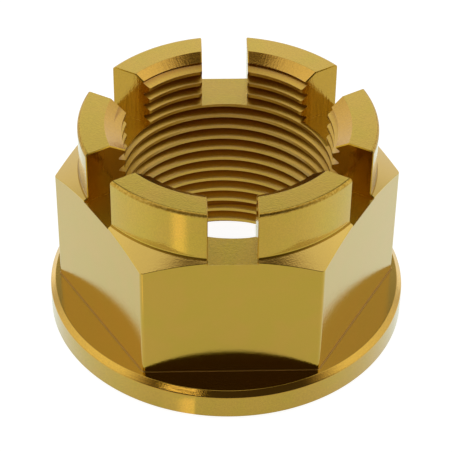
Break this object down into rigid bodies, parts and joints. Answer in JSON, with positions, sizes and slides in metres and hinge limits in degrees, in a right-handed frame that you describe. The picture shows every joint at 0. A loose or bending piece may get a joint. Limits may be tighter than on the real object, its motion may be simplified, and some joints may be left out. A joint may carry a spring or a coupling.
{
  "type": "axle nut",
  "caption": "Castellated hexagon nut on a round flange, with a threaded bore countersunk at both ends and a slotted crown for a split pin or spring clip.",
  "frame": {"origin": "centre of the bore where it opens through the flange's underside, on the surface that the nut stands on", "axes": "+Z along the bore axis, from the flange to the slotted crown; slots face -Y and +Y; hexagon corners point along -X and +X"},
  "size_m": [0.039, 0.039, 0.0243],
  "materials": {
    "gold_anodised": "machined, polished and anodised in gold"
  },
  "bodies": {
    "root": {"axle_nut": "gold_anodised"}
  },
  "joints": []
}
